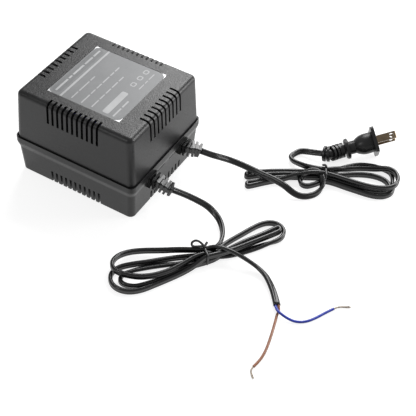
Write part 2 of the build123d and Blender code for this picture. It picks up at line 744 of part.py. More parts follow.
def hank(name, plane, left, first_flat, middle, second_flat, rest, crisp=None, low_end=False):
    """A closed solid of the bundle's outline, with a groove for its tie underneath.
    A crisp corner is barely rounded, and a low end is cut down under a crossing cord."""
    points = left + first_flat + middle + second_flat + rest
    flats = [points.index(corner) for corner in first_flat + second_flat]
    around = [(*points[-1], 0)] + [(*point, 0) for point in points] + [(*points[0], 0)]
    radii = corner_radii(around)
    for corner in flats:
        radii[corner] = 0
    if crisp:
        radii[points.index(crisp)] = tie_play
    with BuildPart() as bundle:
        with BuildSketch(plane):
            with BuildLine():
                FilletPolyline(*points, radius=radii, close=True)
            make_face()
        extrude(amount=hank_height)
        with BuildSketch(plane):
            Rectangle(tie_width + 2 * tie_play, hank_reach)
        extrude(amount=tie_groove, mode=Mode.SUBTRACT)
        if low_end:
            with BuildSketch(plane.offset(hank_low_height)):
                with Locations((-hank_low_end - hank_reach / 2, 0)):
                    Rectangle(hank_reach, hank_reach)
            extrude(amount=hank_height, mode=Mode.SUBTRACT)
    bundle.part.label = name
    return bundle.part


def twist_tie(name, plane, low_side, high_side):
    """A flat ring round the hank's waist, with the two ends twisted together on top."""
    middle = (low_side + high_side) / 2
    ring_plane = Plane(origin=plane.from_local_coords((-tie_width / 2, middle, 0)),
                       x_dir=plane.y_dir, z_dir=plane.x_dir)
    inner_width = high_side - low_side + 2 * tie_play
    inner_bottom = tie_groove - tie_play
    inner_top = hank_height + tie_play
    with BuildPart() as tie:
        with BuildSketch(ring_plane):
            with Locations((0, (inner_bottom + inner_top) / 2)):
                RectangleRounded(inner_width + 2 * tie_thickness, inner_top - inner_bottom + 2 * tie_thickness,
                                 tie_outer_corner)
                RectangleRounded(inner_width, inner_top - inner_bottom, tie_inner_corner, mode=Mode.SUBTRACT)
        extrude(amount=tie_width)
        start = plane.from_local_coords((0, high_side - tie_tail_inset, inner_top + tie_thickness / 2))
        with BuildSketch(Plane(origin=start, z_dir=plane.y_dir * 0.8 + Vector(0, 0, 0.6))):
            Circle(tie_tail_diameter / 2)
        extrude(amount=tie_tail_length)
    tie.part.label = name
    return tie.part


output_cord_hank = hank(
    "output_cord_hank", output_hank_plane,
    [(-79, 0), (-72, -13), (-52, -16), (-24, -9.5), (-8, output_low_side), (8, output_low_side)],
    cord_flat(output_hank_plane, output_tail_route[0], output_tail_route[1]),
    [(42, 0), (56, -0.5), (68, 2), (72, 12), (64, 23), (50, 24.5), (36, 20.5), (24, 14)],
    cord_flat(output_hank_plane, output_lead_route[-1], output_lead_route[-2]),
    [(5, output_high_side), (-6, output_high_side + 0.5), (-36, 20), (-52, 23), (-68, 22), (-76, 12)],
)
input_cord_hank = hank(
    "input_cord_hank", input_hank_plane,
    [(-72, -6), (-67, -17), (-58, -19), (-43, -14.5), (-26, -11.5), (-13, -10.5)],
    cord_flat(input_hank_plane, input_lead_route[-1], input_lead_route[-2]),
    [(-1.8, input_low_side), (4, input_low_side), (12, -10), (23, -16), (34, -21.5), (44, -24.5),
     (53, -22.5), (60, -15), (65.5, -4), (63, 9), (55, 13.5), (42, 18), (30, 18.2), (19, 15.5),
     (10, 10.5), (3, input_high_side), (-2.5, input_high_side + 0.6), (-5, 11.8)],
    cord_flat(input_hank_plane, input_tail_route[0], input_tail_route[1]),
    [(-26, 8), (-48, 6.5), (-63, 3.5)],
    crisp=(-1.8, input_low_side), low_end=True,
)
output_tie = twist_tie("output_tie", output_hank_plane, output_low_side, output_high_side + tie_high_play)
input_tie = twist_tie("input_tie", input_hank_plane, input_low_side, input_high_side + tie_high_play)

pieces = [
    lower_shell.part, upper_shell.part, rating_label.part, case_screws, core_e_stack.part,
    core_i_stack.part, core_screws, bobbin.part, primary_winding, secondary_winding,
    primary_tape, secondary_tape, thermal_fuse.part, primary_lugs, secondary_lugs,
    input_brown_lead, input_blue_lead, output_brown_lead, output_blue_lead, lead_sleeves.part,
    input_strain_relief, output_strain_relief, input_cord_entry, output_cord_entry,
    input_cord_lead, input_cord_hank, input_cord_tail, input_tie,
    plug_body.part, plug_blade_upper, plug_blade_lower,
    output_cord_lead, output_cord_hank, output_cord_tail, output_tie,
    blue_core, brown_core, blue_strands, brown_strands,
]
os.makedirs("parts", exist_ok=True)
for piece in pieces:
    export_step(piece, f"parts/{piece.label}.step")
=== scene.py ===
from math import cos, pi, radians, sin

import bmesh
import bpy
from mathutils import Matrix, Vector


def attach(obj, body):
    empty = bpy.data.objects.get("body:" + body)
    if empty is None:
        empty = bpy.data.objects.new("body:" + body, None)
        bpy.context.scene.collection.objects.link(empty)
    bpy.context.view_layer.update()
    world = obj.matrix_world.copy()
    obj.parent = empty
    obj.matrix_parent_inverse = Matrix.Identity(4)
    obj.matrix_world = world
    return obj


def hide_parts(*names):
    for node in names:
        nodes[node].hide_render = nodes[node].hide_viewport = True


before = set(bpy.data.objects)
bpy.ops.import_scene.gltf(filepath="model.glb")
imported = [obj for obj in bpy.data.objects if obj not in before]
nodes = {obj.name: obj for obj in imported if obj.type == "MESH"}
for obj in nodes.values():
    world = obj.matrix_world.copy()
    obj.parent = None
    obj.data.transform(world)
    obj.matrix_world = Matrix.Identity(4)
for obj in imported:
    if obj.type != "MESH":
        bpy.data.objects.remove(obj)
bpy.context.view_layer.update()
MM = 0.001

# Sizes repeated from the CAD part, in millimetres
label_top = 82.8
sheath_width = 5.6
sheath_thickness = 3.3
core_diameter = 2.1


# Materials
first_colour, second_colour, mixed_colour = 6, 7, 2  # the colour sockets of a Mix node
noise_low, noise_high = 0.35, 0.65  # most of a noise lies between these values
fine_share, broad_share = 0.6, 0.4  # of the two noises in a finish's roughness
wall_up, top_up = 0.4, 0.9  # how far up a face looks where it counts as a wall and as a top
wall_grain = 0.25  # the share of a top's grain that a wall shows
wave_radians = 20  # that a wave texture turns through in one unit at a scale of 1


def noise(tree, vector, size, detail=3.0, roughness=0.6):
    """A noise whose features are about as large as the size, in metres."""
    made = tree.nodes.new("ShaderNodeTexNoise")
    made.inputs["Scale"].default_value = 1.0 / size
    made.inputs["Detail"].default_value = detail
    made.inputs["Roughness"].default_value = roughness
    tree.links.new(vector, made.inputs["Vector"])
    return made.outputs["Fac"]


def ranged(tree, value, low, high, to_low, to_high):
    """A value mapped from one range to another, without going past its ends."""
    made = tree.nodes.new("ShaderNodeMapRange")
    for place, number in enumerate((low, high, to_low, to_high), start=1):
        made.inputs[place].default_value = number
    tree.links.new(value, made.inputs[0])
    return made.outputs[0]


def combined(tree, operation, first, second):
    """Two values, or a value and a number, put together by one operation."""
    made = tree.nodes.new("ShaderNodeMath")
    made.operation = operation
    tree.links.new(first, made.inputs[0])
    if isinstance(second, (int, float)):
        made.inputs[1].default_value = second
    else:
        tree.links.new(second, made.inputs[1])
    return made.outputs[0]


def finish_of(name, tone, second, rough=(0.4, 0.55), metal=0.0, grain=0.0005, depth=0.00003,
              patch=0.02, stretch=(1, 1, 1), gloss=0.5, coat=0.0, bands=None, top_grain=False):
    """A finish: two tones in soft patches, roughness and relief from a fine grain.
    Bands add even ridges along an axis: (axis, pitch, depth). With top_grain, the relief is
    strongest on the faces that look up. Lengths are in metres."""
    made = bpy.data.materials.new(name)
    made.use_nodes = True
    tree = made.node_tree
    shader = tree.nodes["Principled BSDF"]
    shader.inputs["Metallic"].default_value = metal
    shader.inputs["Specular IOR Level"].default_value = gloss
    shader.inputs["Coat Weight"].default_value = coat
    shader.inputs["Coat Roughness"].default_value = 0.12
    place = tree.nodes.new("ShaderNodeTexCoord").outputs["Object"]
    scaled = tree.nodes.new("ShaderNodeMapping")
    scaled.inputs["Scale"].default_value = stretch
    tree.links.new(place, scaled.inputs["Vector"])
    fine = noise(tree, scaled.outputs["Vector"], grain)
    broad = noise(tree, place, patch, detail=5.0)
    mix = tree.nodes.new("ShaderNodeMix")
    mix.data_type = "RGBA"
    mix.inputs[first_colour].default_value = (*tone, 1)
    mix.inputs[second_colour].default_value = (*second, 1)
    tree.links.new(ranged(tree, broad, noise_low, noise_high, 0.0, 1.0), mix.inputs[0])
    tree.links.new(mix.outputs[mixed_colour], shader.inputs["Base Color"])
    both = combined(tree, "ADD", combined(tree, "MULTIPLY", fine, fine_share),
                    combined(tree, "MULTIPLY", broad, broad_share))
    tree.links.new(ranged(tree, both, noise_low, noise_high, *rough), shader.inputs["Roughness"])
    height = combined(tree, "MULTIPLY", fine, depth)
    if top_grain:
        normal = tree.nodes.new("ShaderNodeNewGeometry").outputs["Normal"]
        axes = tree.nodes.new("ShaderNodeSeparateXYZ")
        tree.links.new(normal, axes.inputs[0])
        share = ranged(tree, axes.outputs["Z"], wall_up, top_up, wall_grain, 1.0)
        height = combined(tree, "MULTIPLY", height, share)
    if bands:
        axis, pitch, band_depth = bands
        wave = tree.nodes.new("ShaderNodeTexWave")
        wave.bands_direction = axis
        wave.inputs["Scale"].default_value = 2 * pi / (wave_radians * pitch)
        wave.inputs["Distortion"].default_value = 0.2
        tree.links.new(place, wave.inputs["Vector"])
        ridges = combined(tree, "MULTIPLY", wave.outputs["Fac"], band_depth)
        height = combined(tree, "ADD", height, ridges)
    bump = tree.nodes.new("ShaderNodeBump")
    bump.inputs["Distance"].default_value = 1.0
    tree.links.new(height, bump.inputs["Height"])
    tree.links.new(bump.outputs["Normal"], shader.inputs["Normal"])
    return made


case_plastic = finish_of("case_plastic", (0.009, 0.009, 0.0095), (0.014, 0.014, 0.0145), (0.27, 0.42),
                         grain=0.0011, depth=0.00017, gloss=0.4, top_grain=True)
cord_rubber = finish_of("cord_rubber", (0.006, 0.006, 0.0065), (0.01, 0.01, 0.0105), (0.2, 0.29),
                        grain=0.003, depth=0.000004, patch=0.03)
relief_rubber = finish_of("relief_rubber", (0.008, 0.008, 0.0085), (0.013, 0.013, 0.0135), (0.18, 0.28),
                          grain=0.002, depth=0.000004, gloss=0.55)
plug_rubber = finish_of("plug_rubber", (0.009, 0.009, 0.0095), (0.015, 0.015, 0.0155), (0.26, 0.4),
                        grain=0.0009, depth=0.00003, gloss=0.45)
tie_plastic = finish_of("tie_plastic", (0.012, 0.012, 0.013), (0.022, 0.022, 0.023), (0.25, 0.4),
                        grain=0.0008, depth=0.00003)
label_foil = finish_of("label_foil", (0.4, 0.4, 0.405), (0.5, 0.5, 0.505), (0.25, 0.4), metal=0.9,
                       grain=0.0006, depth=0.000006, stretch=(1, 0.06, 1))
label_print = finish_of("label_print", (0.138, 0.141, 0.144), (0.162, 0.165, 0.168), (0.42, 0.54),
                        metal=0.25, depth=0.000006, stretch=(1, 0.08, 1))
label_band = finish_of("label_band", (0.115, 0.118, 0.121), (0.135, 0.138, 0.141), (0.42, 0.54),
                       metal=0.25, depth=0.000006, stretch=(1, 0.08, 1))
label_light = finish_of("label_light", (0.3, 0.303, 0.306), (0.36, 0.364, 0.368), (0.46, 0.56),
                        metal=0.15, depth=0.000005)
screw_steel = finish_of("screw_steel", (0.42, 0.41, 0.39), (0.5, 0.49, 0.47), (0.25, 0.42), metal=1.0,
                        grain=0.0008, depth=0.00001)
lamination_steel = finish_of("lamination_steel", (0.12, 0.12, 0.125), (0.2, 0.19, 0.18), (0.4, 0.6),
                             metal=0.7, grain=0.001, depth=0.00001, bands=("Z", 0.0007, 0.00012))
bobbin_nylon = finish_of("bobbin_nylon", (0.055, 0.055, 0.058), (0.075, 0.075, 0.078), (0.4, 0.55))
enamelled_copper = finish_of("enamelled_copper", (0.36, 0.12, 0.04), (0.48, 0.18, 0.07), (0.2, 0.32),
                             metal=0.8, grain=0.001, depth=0.00001, bands=("Y", 0.0009, 0.0002))
coil_tape = finish_of("coil_tape", (0.55, 0.42, 0.06), (0.66, 0.52, 0.1), (0.25, 0.4), grain=0.002,
                      depth=0.00003, coat=0.3)
fuse_body = finish_of("fuse_body", (0.55, 0.53, 0.48), (0.68, 0.66, 0.6), (0.4, 0.55), depth=0.00002)
lug_tin = finish_of("lug_tin", (0.55, 0.56, 0.56), (0.68, 0.68, 0.67), (0.22, 0.4), metal=1.0,
                    depth=0.00001)
brown_insulation = finish_of("brown_insulation", (0.235, 0.085, 0.035), (0.29, 0.11, 0.05), (0.26, 0.38),
                             grain=0.0009, depth=0.00001, patch=0.01)
blue_insulation = finish_of("blue_insulation", (0.012, 0.03, 0.32), (0.02, 0.045, 0.42), (0.26, 0.38),
                            grain=0.0009, depth=0.00001, patch=0.01)
sleeve_black = finish_of("sleeve_black", (0.014, 0.014, 0.014), (0.022, 0.022, 0.022), (0.4, 0.55))
blade_brass = finish_of("blade_brass", (0.2, 0.15, 0.105), (0.31, 0.24, 0.16), (0.22, 0.36), metal=1.0,
                        grain=0.0007, depth=0.000008, patch=0.006)
bare_copper = finish_of("bare_copper", (0.28, 0.24, 0.2), (0.42, 0.35, 0.28), (0.3, 0.45), metal=0.9,
                        grain=0.0004, depth=0.00001, patch=0.002)

dressed = {
    case_plastic: ["upper_shell", "lower_shell"],
    label_foil: ["rating_label"],
    screw_steel: ["case_screws", "core_screws"],
    lamination_steel: ["core_e_stack", "core_i_stack"],
    bobbin_nylon: ["bobbin"],
    enamelled_copper: ["primary_winding", "secondary_winding"],
    coil_tape: ["primary_tape", "secondary_tape"],
    fuse_body: ["thermal_fuse"],
    lug_tin: ["primary_lugs", "secondary_lugs"],
    brown_insulation: ["input_brown_lead", "output_brown_lead"],
    blue_insulation: ["input_blue_lead", "output_blue_lead"],
    sleeve_black: ["lead_sleeves"],
    relief_rubber: ["input_strain_relief", "output_strain_relief"],
    cord_rubber: ["input_cord_entry", "output_cord_entry"],
    plug_rubber: ["plug_body"],
    blade_brass: ["plug_blade_upper", "plug_blade_lower"],
}
for material, names in dressed.items():
    for name in names:
        nodes[name].data.materials.clear()
        nodes[name].data.materials.append(material)


# Geometry
quarter = range(0, 91, 15)  # the angles of a rounded corner, in degrees


def added(name, data):
    """An object in the scene."""
    made = bpy.data.objects.new(name, data)
    bpy.context.scene.collection.objects.link(made)
    return made


def mesh_of(name, shape):
    """The mesh of a finished shape, which is then freed."""
    mesh = bpy.data.meshes.new(name)
    shape.to_mesh(mesh)
    shape.free()
    return mesh


def piece(name, data, *materials):
    """A mesh or curve object that rides with the part."""
    made = added(name, data)
    for material in materials:
        data.materials.append(material)
    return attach(made, "root")


def route(name, points, resolution=8):
    """A smooth NURBS line whose control points are given in millimetres."""
    data = bpy.data.curves.new(name, "CURVE")
    data.dimensions = "3D"
    data.resolution_u = resolution
    spline = data.splines.new("NURBS")
    spline.points.add(len(points) - 1)
    for control, point in zip(spline.points, points):
        control.co = (*(value * MM for value in point[:3]), 1)
    spline.order_u = 3
    spline.use_endpoint_u = True
    return data


def read(points, resolution=8):
    """The points that the smooth line through these control points passes, in metres."""
    data = route("reading", points, resolution)
    bare = bpy.data.objects.new("reading", data)
    mesh = bpy.data.meshes.new_from_object(bare)
    line = [vertex.co.copy() for vertex in mesh.vertices]
    bpy.data.meshes.remove(mesh)
    bpy.data.objects.remove(bare)
    bpy.data.curves.remove(data)
    return line


def heading(line, place):
    """The direction of a line of points at one of them."""
    before, after = line[max(place - 1, 0)], line[min(place + 1, len(line) - 1)]
    return (after - before).normalized()


def skin(shape, one, other):
    """Smooth faces between two rings of points."""
    for place in range(len(one)):
        after = (place + 1) % len(one)
        shape.faces.new((one[place], one[after], other[after], other[place])).smooth = True


def swept(shape, line, rolls, outline):
    """Sweeps an outline along a line, with a roll in degrees at each of its points.
    The outline's first axis stands up at a roll of 0 and lies level at 90."""
    rings = []
    for place, point in enumerate(line):
        along = heading(line, place)
        up = Vector((0, 0, 1))
        up = (up - along * up.dot(along)).normalized()
        side = along.cross(up)
        roll = radians(rolls[place])
        first = up * cos(roll) + side * sin(roll)
        second = along.cross(first)
        rings.append([shape.verts.new(point + first * wide * MM + second * thick * MM)
                      for wide, thick in outline])
    for one, other in zip(rings, rings[1:]):
        skin(shape, one, other)
    shape.faces.new(rings[0][::-1])
    shape.faces.new(rings[-1])


def circle(diameter, count):
    """A round outline."""
    return [(diameter / 2 * cos(2 * pi * step / count), diameter / 2 * sin(2 * pi * step / count))
            for step in range(count)]


def twin_outline():
    """The sheath's section: two round lobes that meet in a shallow groove."""
    lobe = sheath_thickness / 2
    shift = sheath_width / 2 - lobe
    reach = 120
    half = [(shift + lobe * cos(radians(angle)), lobe * sin(radians(angle)))
            for angle in range(-reach, reach + 1, 24)]
    return half + [(-wide, -thick) for wide, thick in half]


def sheath(name, points):
    """A flat two-core cord through control points (x, y, height, roll), and the line it follows."""
    line = read(points)
    rolls = [spot.x / MM for spot in read([(point[3], 0, 0) for point in points])]
    shape = bmesh.new()
    swept(shape, line, rolls, twin_outline())
    return piece(name, mesh_of(name, shape), cord_rubber), line


def laid(origin, way, points):
    """Points (along, across, height, roll) of a hank's own plane, in the row frame."""
    return [(origin[0] + way[0] * along - way[1] * across,
             origin[1] + way[1] * along + way[0] * across, *rest)
            for along, across, *rest in points]


# Cords: each flat cord is one line, its lead, the folded turns of its hank and its tail.
# A hank's plane is given by its origin, which lies under the tie, and by the hank's long way.
# Points are (x, y, height, roll), or (along, across, height, roll) in a hank's plane, in
# millimetres and degrees.
output_hank = ((129.0, -56.5), (0.64, 0.77))
input_hank = ((166.9, 77.5), (0.863, 0.505))

output_points = [
    (75.0, -21.3, 21.5, -80), (84.0, -16.9, 17.5, -80), (92.8, -13.2, 13.0, -75), (102.1, -10.2, 8.5, -60),
    (110.2, -11.6, 5.6, -45), (117.1, -15.0, 4.0, -35), (123.5, -21.6, 3.2, -25), (127.4, -28.8, 3.4, -15),
] + laid(*output_hank, [
    (15.6, 11.8, 4.2, -5), (9, 8.4, 3.6, 0), (0, 5.4, 2.9, 0),
    (-10.5, 7.6, 2.9, 0), (-21.6, 9.7, 2.9, 0), (-32.7, 10.9, 2.9, 0), (-43.8, 11.8, 2.9, 0),
    (-54.7, 13.4, 2.9, 0), (-65.7, 13.9, 2.9, 0), (-73.0, 10.8, 2.9, 0), (-76.4, 4.6, 2.9, 0),
    (-75.8, -2.6, 2.9, 0), (-71.4, -8.4, 2.9, 0), (-64.7, -11.8, 2.9, 0), (-56.0, -12.6, 2.9, 0),
    (-45.3, -10.8, 2.9, 0), (-33.4, -8.6, 2.9, 0), (-21.2, -6.2, 3.2, 0), (-12.0, -4.2, 5.0, 0),
    (-5.0, -2.0, 7.6, 0), (0, -1.0, 8.6, 0),
    (8, -0.8, 8.2, 0), (16, 0.2, 7.2, 0), (24, 1.4, 6.4, 0), (36, 3.4, 6.2, 0),
    (46, 5.2, 5.9, 0), (54, 6.9, 5.3, 0), (61.0, 8.4, 4.9, 0), (66.4, 9.6, 4.8, 0),
    (66.6, 14.0, 4.8, 0), (61.0, 12.6, 4.9, 0), (54, 10.7, 5.3, 0), (46, 8.8, 5.9, 0),
    (36, 6.9, 6.2, 0), (27.5, 5.0, 6.0, 0), (16, 2.6, 4.8, 0), (8, -0.6, 3.4, 0), (0, -1.5, 2.9, 0),
    (-12, -1.8, 2.9, 0), (-22, -3.0, 2.9, 0), (-32, -4.8, 2.8, -20), (-42, -6.4, 2.5, -45),
    (-51, -7.4, 2.4, -50), (-60, -7.2, 2.5, -40), (-67.0, -4.6, 2.9, -10), (-69.8, 0.4, 2.9, 0),
    (-67.0, 5.4, 2.9, 10), (-60, 7.6, 2.6, 35), (-51, 7.8, 2.4, 55), (-42, 7.2, 2.4, 60),
    (-34.7, 6.2, 2.4, 60), (-23.7, 4.2, 2.5, 45), (-12, 2.6, 2.8, 15), (0, 1.9, 2.9, 0),
    (8, 1.4, 2.5, 40), (16, 0.8, 1.9, 75), (24, 0.6, 1.7, 90), (34, 0.8, 1.7, 90),
    (44, 1.6, 1.8, 80), (52, 2.2, 2.4, 50), (60, 2.2, 2.9, 10), (66.2, 4.6, 2.9, 0),
    (69.8, 9.4, 2.9, 0), (69.8, 15.0, 2.9, 0), (66.8, 20.0, 2.9, 0), (60.6, 22.8, 2.9, 0),
    (52.8, 22.4, 2.9, 0), (44, 19.8, 2.9, 0), (35.2, 16.8, 2.9, 0), (26.5, 14, 2.9, 0),
    (19, 11.0, 3.0, 0), (12.5, 7.4, 3.6, 0), (6.5, 4.2, 5.4, 0), (0, 2.5, 8.3, 0),
    (-7.1, 1.9, 8.7, 0), (-13.2, 0.4, 8.7, 0), (-19.9, -2.0, 8.7, 0), (-26.2, -4.0, 8.7, 0),
    (-32.4, -5.6, 8.7, 0), (-38.2, -6.2, 8.7, 0), (-43.9, -6.5, 8.7, 0), (-49.1, -5.9, 8.7, 0),
    (-54.3, -4.8, 8.7, 0), (-59.2, -2.8, 8.7, 0), (-64.2, 0.2, 8.7, 0), (-69.2, 4.0, 8.7, 0),
    (-72.4, 9.0, 8.7, 0), (-71.8, 15.0, 8.5, 0), (-67.0, 20.6, 7.2, 0), (-59.8, 23.9, 5.5, 0),
    (-51, 24.5, 4.5, 0), (-40.3, 21.9, 4.5, 0), (-30.3, 17.9, 5.5, 0), (-20, 14.1, 7.0, 0),
    (-10, 9.6, 8.4, 0), (0, 6.0, 8.7, 10), (6.0, 6.8, 9.2, 20), (12.0, 3.8, 10.6, 35),
    (17.9, -1.6, 11.0, 40), (23.4, -6.4, 9.2, 40), (29.0, -11.6, 6.6, 40), (34.0, -17.6, 4.6, 40),
    (36.9, -23.2, 3.5, 45),
]) + [
    (175.6, -45.0, 2.9, 50), (182.8, -50.7, 2.6, 60), (189.8, -57.9, 2.5, 75), (195.6, -65.3, 2.5, 85),
]
input_points = [
    (72.4, 27.9, 24.2, -65), (81.3, 31.1, 21.5, -65), (87.8, 37.2, 17.0, -60), (94.5, 42.9, 12.5, -55),
    (103.6, 45.3, 10.4, -52), (113.6, 46.3, 9.0, -50), (124.0, 46.3, 8.5, -50), (134.2, 46.6, 8.4, -50),
    (144.1, 46.0, 7.4, -48), (152.4, 44.8, 4.6, -45), (159.1, 46.0, 3.0, -40), (164.8, 49.6, 2.8, -30),
    (169.2, 55.8, 2.8, -20),
] + laid(*input_hank, [
    (-4.4, -15.4, 4.4, 10), (-2.9, -11.0, 6.3, 40), (-2.9, -6.6, 8.0, 65), (-3.4, -2.4, 8.6, 80),
    (-6.6, 2.2, 8.6, 80), (-12.4, 3.2, 7.8, 70), (-18.0, 0.4, 6.0, 60), (-21.6, -4.0, 4.4, 40),
    (-21.4, -9.2, 3.2, 10), (-16.6, -11.6, 2.9, 0), (-10.6, -9.4, 2.9, 0), (-5, -6.4, 2.9, 0),
    (0, -4.1, 2.9, 0),
    (7.8, -6.6, 2.9, 0), (16.9, -11.0, 2.9, 0), (25.9, -14.8, 2.9, 0), (34.9, -18.6, 2.9, 0),
    (41.8, -20.4, 2.9, 0), (48.4, -20.2, 2.9, 0), (54.6, -16.8, 2.9, 0), (57.4, -11.0, 2.9, 0),
    (57.2, -4.5, 2.9, 0), (58.8, 2.0, 2.9, 0), (58.0, 8.6, 2.9, 0), (53.0, 12.8, 2.9, 0),
    (46, 15.0, 2.9, 0), (38, 16.6, 2.9, 0), (30, 16.6, 2.9, 0), (22, 14.2, 2.9, 0), (13, 10.4, 2.9, 0),
    (6, 7.6, 2.9, 0), (0, 6.2, 2.9, 0),
    (-12, 6.2, 2.9, 0), (-24, 6.0, 2.9, 0), (-36, 5.7, 2.9, 0), (-48, 4.9, 2.9, 0), (-57, 3.4, 2.9, 0),
    (-63.0, 2.4, 2.9, 0), (-67.2, 1.2, 2.9, 0), (-67.0, -2.9, 2.9, 0), (-62.0, -1.8, 2.9, 0),
    (-56, -0.2, 2.9, 0), (-46, 1.4, 2.9, 0), (-34, 2.3, 2.9, 0), (-22, 2.6, 2.9, 0), (-10, 2.8, 2.9, 0),
    (0, 2.6, 2.9, 0),
    (8, 2.6, 2.9, 0), (15, 3.2, 2.9, 0), (23.3, 4.8, 2.9, 0), (32.9, 5.2, 2.9, 0), (42.3, 4.0, 2.9, 0),
    (49.6, 0.8, 2.9, 0), (54.0, -4.4, 2.9, 0), (54.4, -10.2, 2.9, 0), (49.8, -14.2, 2.9, 0),
    (42, -14.8, 2.9, 0), (34, -13.2, 2.9, 0), (24, -9.8, 2.9, 0), (14, -5.8, 2.9, 0), (6, -2.2, 2.9, 0),
    (0, -0.75, 2.9, 0),
    (-10, -0.7, 2.9, 0), (-20, -0.8, 2.9, 0), (-30, -1.2, 2.9, 0), (-40, -2.4, 2.9, 0), (-50, -5.2, 2.9, 0),
    (-58, -8.0, 2.9, 0), (-63.0, -9.2, 2.9, 0), (-66.8, -9.8, 2.9, 0), (-66.8, -14.0, 2.9, 0),
    (-62.0, -12.6, 2.9, 0), (-52, -8.8, 2.9, 0), (-43, -6.2, 3.1, 0), (-35, -4.6, 4.4, 0),
    (-27, -3.0, 6.6, 0), (-20, -2.0, 8.4, 20), (-12, -1.2, 10.4, 40), (-5, -1.0, 9.8, 30),
    (0, -0.9, 8.7, 10),
    (8.2, -3.6, 8.6, 20), (17.3, -7.3, 8.6, 20), (26.3, -11.4, 8.6, 10), (35.4, -14.8, 8.6, 0),
    (44.7, -16.4, 8.6, 0), (52.4, -15.6, 8.6, 0), (57.6, -12.6, 8.6, 0), (60.8, -7.4, 8.6, 0),
    (61.4, -1.0, 8.6, 0), (59.2, 5.0, 8.6, 0), (53.5, 9.4, 7.6, 0), (46, 11.0, 4.6, 0), (37, 12.6, 3.2, 0),
    (28, 12.4, 3.2, 0), (19, 9.8, 4.2, 0), (10, 6.2, 7.4, 0), (0, 3.2, 8.7, 0),
    (-8.9, 5.8, 8.0, 0), (-16.1, 9.6, 6.2, 0), (-21.6, 14.4, 4.4, -10), (-26.6, 18.8, 3.4, -20),
    (-28.4, 24.0, 3.2, -20),
]) + [
    (133.8, 94.6, 3.2, -20), (139.0, 97.2, 3.6, -40), (146.4, 98.4, 5.0, -60), (154.8, 99.9, 6.9, -70),
]
output_cord, output_line = sheath("output_cord", output_points)
input_cord, input_line = sheath("input_cord", input_points)
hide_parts("output_cord_lead", "output_cord_hank", "output_cord_tail")
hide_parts("input_cord_lead", "input_cord_hank", "input_cord_tail")

# Cores: two insulated wires from the end of the output sheath
core_shift = 1.2  # from the middle of the sheath to the middle of a core
core_straight = 1.6  # how far a core goes on straight out of the sheath
jacket_end = Vector(output_points[-1][:3])
jacket_way = Vector((0.617, -0.787, 0))
core_side = Vector((0.787, 0.617, 0)) * core_shift
brown_start = jacket_end + core_side
blue_start = jacket_end - core_side
blue_points = [
    tuple(blue_start), tuple(blue_start + jacket_way * core_straight), (198.2, -70.3, 3.6),
    (203.2, -71.6, 3.2), (208.6, -71.7, 2.1), (213.4, -70.6, 1.2), (218.1, -68.2, 1.1),
    (222.1, -64.2, 1.1), (225.8, -58.0, 1.1), (229.2, -50.7, 1.1), (232.9, -44.0, 1.1),
]
brown_points = [
    tuple(brown_start), tuple(brown_start + jacket_way * core_straight), (198.9, -68.3, 1.3),
    (199.4, -72.6, 1.1), (201.5, -79.7, 1.1), (203.9, -88.8, 1.1), (206.0, -98.0, 1.1),
    (207.4, -105.7, 1.1), (207.8, -114.7, 1.1), (206.3, -121.9, 1.1),
]


def core(name, points, material):
    """One insulated wire."""
    data = route(name, points, resolution=12)
    data.bevel_depth = core_diameter / 2 * MM
    data.bevel_resolution = 5
    data.use_fill_caps = True
    made = piece(name, data, material)
    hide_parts(name.replace("wire", "core"))
    return made


blue_wire = core("blue_wire", blue_points, blue_insulation)
brown_wire = core("brown_wire", brown_points, brown_insulation)

# Strands: the fine wires of a core's stripped end, all but the last of them round that one
strand_count = 9
strand_diameter = 0.36
strand_ring = 0.45  # from the middle wire to the others
strand_twist = 2.4  # half turns from the insulation to the tip
loose_from = 0.6  # the share of the length after which the wires spread
loosening = 0.55  # how much they spread


def strands(name, points, node):
    """A stripped end: fine wires twisted together, loosening towards the tip."""
    line = read(points, resolution=10)
    up = Vector((0, 0, 1))
    shape = bmesh.new()
    for number in range(strand_count):
        turn = 2 * pi * number / (strand_count - 1)
        inner = 0.0 if number == strand_count - 1 else strand_ring
        path = []
        for place, point in enumerate(line):
            share = place / (len(line) - 1)
            side = heading(line, place).cross(up).normalized()
            angle = turn + share * strand_twist * pi
            reach = inner * (1.0 + loosening * max(0.0, share - loose_from) * (1 + number % 3)) * MM
            path.append(point + side * cos(angle) * reach + up * sin(angle) * reach)
        last = len(path) - (number % 3)
        swept(shape, path[:last], [0] * last, circle(strand_diameter, 8))
    made = piece(name, mesh_of(name, shape), bare_copper)
    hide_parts(node)
    return made


blue_ends = strands("blue_ends", [blue_points[-1], (234.5, -41.1, 1.1), (238.2, -38.4, 0.9),
                                  (243.4, -35.4, 0.9)], "blue_strands")
brown_ends = strands("brown_ends", [brown_points[-1], (205.8, -124.3, 1.1), (207.4, -127.7, 0.9),
                                    (211.1, -130.7, 0.9)], "brown_strands")

# Twist ties: a flat covered wire round each hank, its loose ends on top
tie_bottom = 0.45  # the height of the ring's lowest side
tie_corner = 1.8  # the radius of the ring's corners
tie_lean = 0.25  # how far its two sides are from the hank's origin, along the hank
tie_outline = ((-1.1, -0.2), (-0.55, 0.12), (0, 0.42), (0.55, 0.12), (1.1, -0.2), (0, -0.42))
tie_end_diameter = 1.9


